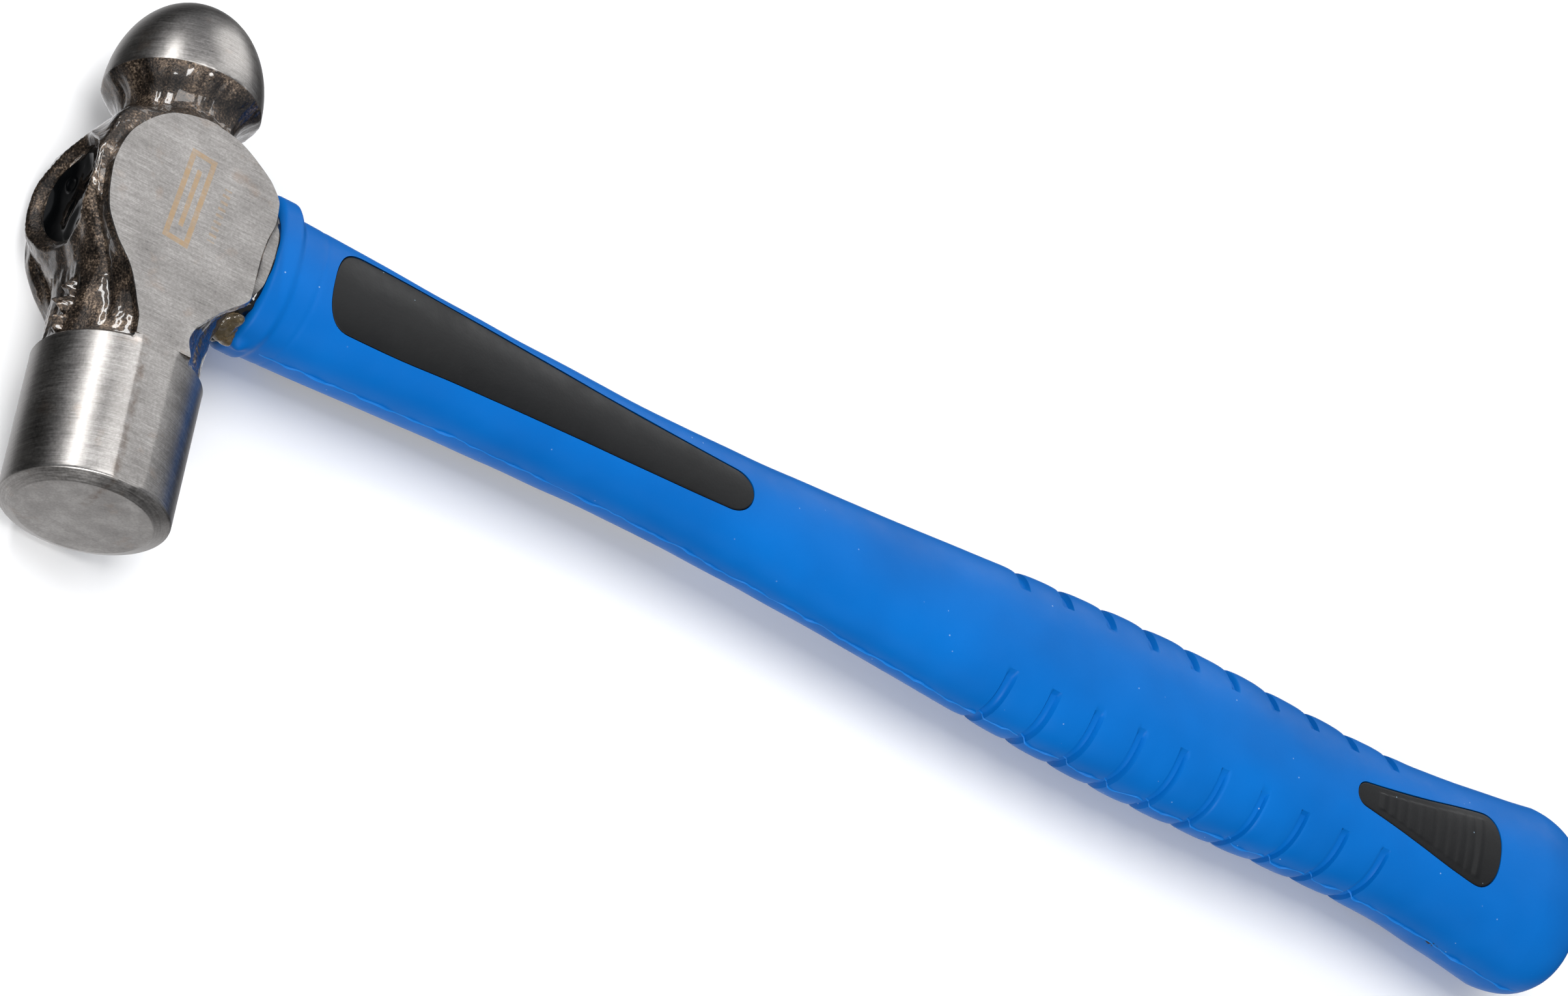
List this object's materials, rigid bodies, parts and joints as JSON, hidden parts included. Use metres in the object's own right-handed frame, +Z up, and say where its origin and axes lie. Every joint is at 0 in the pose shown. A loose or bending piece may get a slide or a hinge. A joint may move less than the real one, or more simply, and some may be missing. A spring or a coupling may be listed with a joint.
{
  "type": "ball peen hammer",
  "caption": "Ball peen hammer for metalwork: forged steel head with round face and ball peen, resin-bonded to a blue rubber grip with black inlays over a glass-fibre core.",
  "frame": {"origin": "centre of the lower ground cheek, right under the middle of the eye; the hammer lies on that cheek and on the butt flare", "axes": "+X along the handle from head to butt, +Y along the head from the striking face to the ball, +Z up through the thickness"},
  "size_m": [0.372, 0.1104, 0.0314],
  "materials": {
    "forged_steel": "ground cheeks and turned poll and ball, dark forged neck and eye under clear lacquer",
    "glass_fibre": "pultruded glass-fibre bar",
    "black_plastic": "moulded satin black",
    "blue_rubber": "moulded satin blue",
    "black_inlay": "moulded satin black",
    "black_resin": "poured glossy black",
    "clear_resin": "cloudy clear to amber, glossy"
  },
  "bodies": {
    "root": {"head_forging": "forged_steel", "fibreglass_core": "glass_fibre", "inner_sleeve": "black_plastic", "grip_jacket": "blue_rubber", "side_inlay_left": "black_inlay", "side_inlay_right": "black_inlay", "butt_inlay_left": "black_inlay", "butt_inlay_right": "black_inlay", "eye_resin_cap": "black_resin", "eye_bond_resin": "black_resin", "resin_bead": "clear_resin"}
  },
  "joints": []
}
